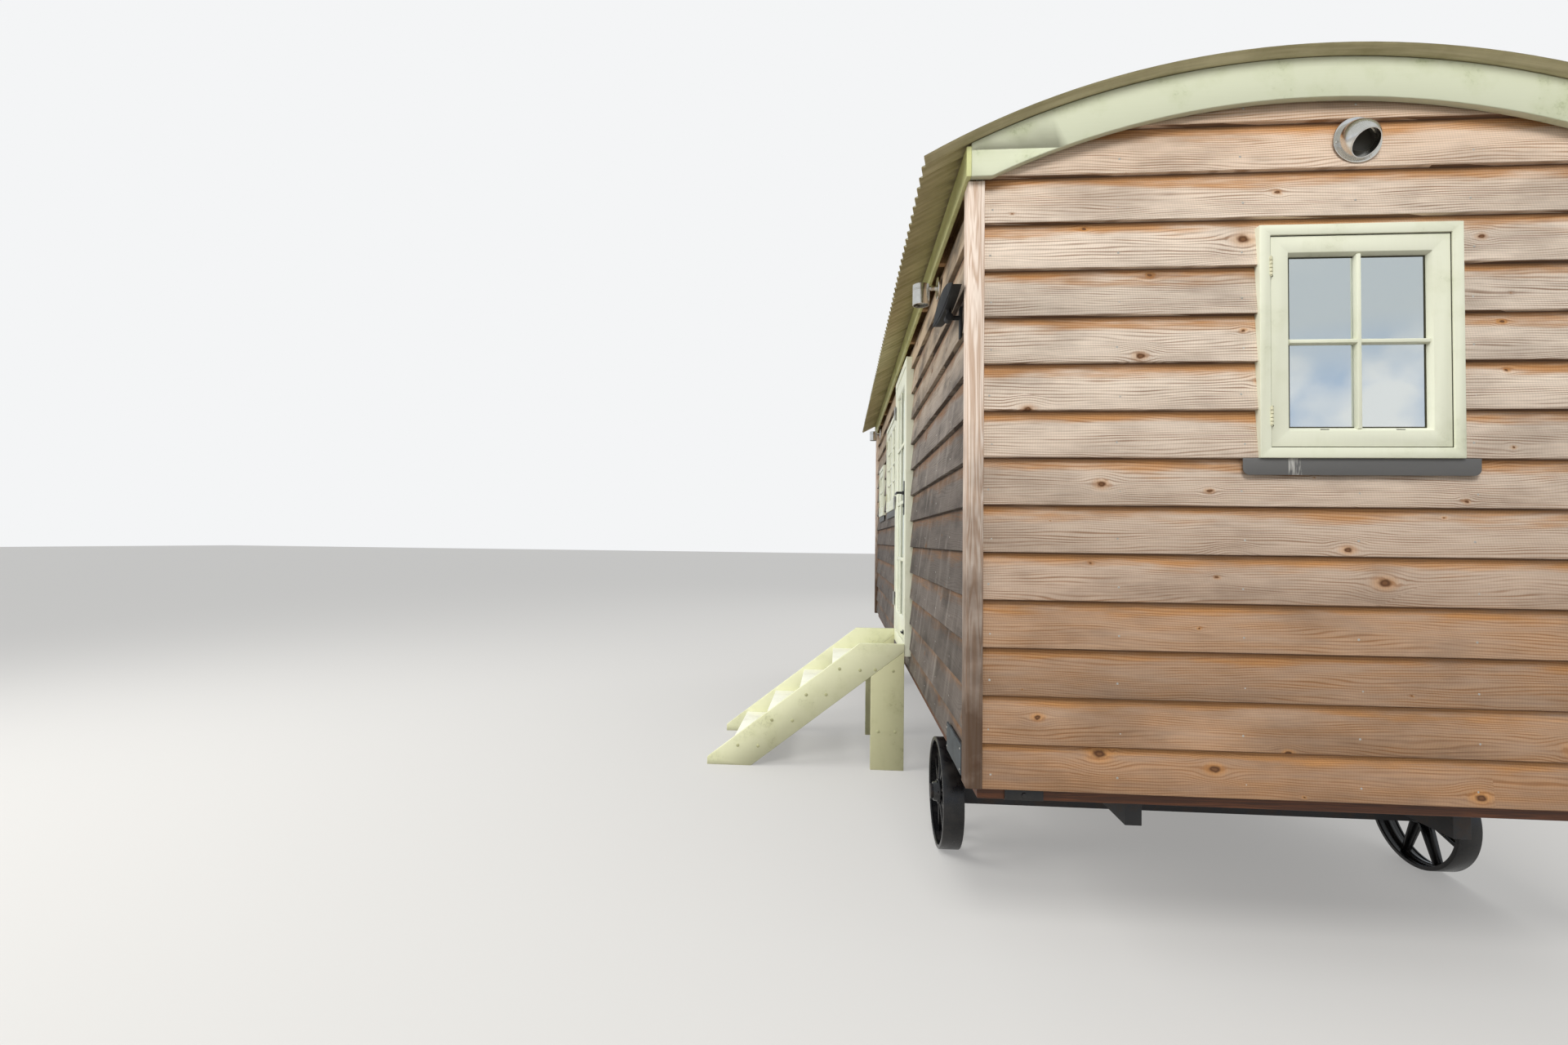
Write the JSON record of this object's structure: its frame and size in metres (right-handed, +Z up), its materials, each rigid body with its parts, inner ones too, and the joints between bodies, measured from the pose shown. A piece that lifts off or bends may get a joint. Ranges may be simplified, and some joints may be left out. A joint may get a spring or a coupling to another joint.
{
  "type": "shepherds hut",
  "caption": "Timber shepherd's hut on iron wheels with lapped boards, curved corrugated roof, casement windows, a glazed side door and timber steps.",
  "frame": {"origin": "on the ground, in the middle of the box round the hut and its steps", "axes": "+Y along the hut from the window gable to the far gable, +X to the right of someone who looks at the window gable, +Z up; the door side faces -X"},
  "size_m": [3.853, 6.232, 3.1951],
  "materials": {
    "pine_boards": "planed softwood boards",
    "stained_beam": "brown stained softwood beam",
    "black_iron": "black painted iron",
    "chassis_steel": "dark painted steel",
    "cast_iron": "black painted cast iron",
    "wall_lining": "pale painted lining boards",
    "larch_post": "weathered larch",
    "larch_boards": "sawn larch, weathered silver with orange bands under the laps",
    "roof_metal": "weathered olive grey corrugated sheet",
    "sage_paint": "timber painted pale sage",
    "glass": "clear double glazing",
    "lead": "dull dark grey flashing",
    "hinge_steel": "plain steel hinge",
    "stainless": "brushed stainless steel",
    "black_plastic": "black gloss",
    "slate": "dark riven slate",
    "tread_paint": "timber painted near white"
  },
  "bodies": {
    "root": {"floor_deck": "pine_boards", "floor_frame": "stained_beam", "beam_brackets": "black_iron", "chassis_rails": "chassis_steel", "front_axle": "chassis_steel", "rear_axle": "chassis_steel", "front_gable_wall": "wall_lining", "rear_gable_wall": "wall_lining", "left_wall_front": "wall_lining", "left_wall_rear": "wall_lining", "left_wall_head": "wall_lining", "right_wall": "wall_lining", "corner_posts": "larch_post", "front_boards": "larch_boards", "rear_boards": "larch_boards", "left_boards": "larch_boards", "right_boards": "larch_boards", "ceiling_lining": "wall_lining", "roof_bows": "pine_boards", "roof_deck": "pine_boards", "roof_sheets": "roof_metal", "bargeboards": "sage_paint", "fascias": "sage_paint", "gable_window_frames": "sage_paint", "gable_window_sashes": "sage_paint", "gable_window_glass": "glass", "side_window_frames": "sage_paint", "side_window_sashes": "sage_paint", "side_window_glass": "glass", "window_flashings": "lead", "door_frame": "sage_paint", "frame_hinges": "hinge_steel", "vent_cowl": "stainless", "down_lights": "stainless", "wall_fitting": "black_plastic", "name_plate": "slate", "step_strings": "sage_paint", "step_treads": "tread_paint", "step_legs": "sage_paint"},
    "door": {"door_leaf": "sage_paint", "leaf_hinges": "hinge_steel", "door_glass": "glass", "door_furniture": "black_iron"},
    "wheel_front_left": {"wheel_front_left": "cast_iron"},
    "wheel_front_right": {"wheel_front_right": "cast_iron"},
    "wheel_rear_left": {"wheel_rear_left": "cast_iron"},
    "wheel_rear_right": {"wheel_rear_right": "cast_iron"}
  },
  "joints": [
    {"name": "door_swing", "type": "hinge", "parent": "root", "child": "door", "pos_m": [-0.6428, -0.1305, 1.7], "axis": [0, 0, -1], "range_deg": [0, 100]},
    {"name": "wheel_front_left_turn", "type": "hinge", "parent": "root", "child": "wheel_front_left", "pos_m": [-0.5325, -2.026, 0.26], "axis": [1, 0, 0], "continuous": true},
    {"name": "wheel_front_right_turn", "type": "hinge", "parent": "root", "child": "wheel_front_right", "pos_m": [1.6715, -2.026, 0.26], "axis": [1, 0, 0], "continuous": true},
    {"name": "wheel_rear_left_turn", "type": "hinge", "parent": "root", "child": "wheel_rear_left", "pos_m": [-0.5325, 2.026, 0.26], "axis": [1, 0, 0], "continuous": true},
    {"name": "wheel_rear_right_turn", "type": "hinge", "parent": "root", "child": "wheel_rear_right", "pos_m": [1.6715, 2.026, 0.26], "axis": [1, 0, 0], "continuous": true}
  ]
}
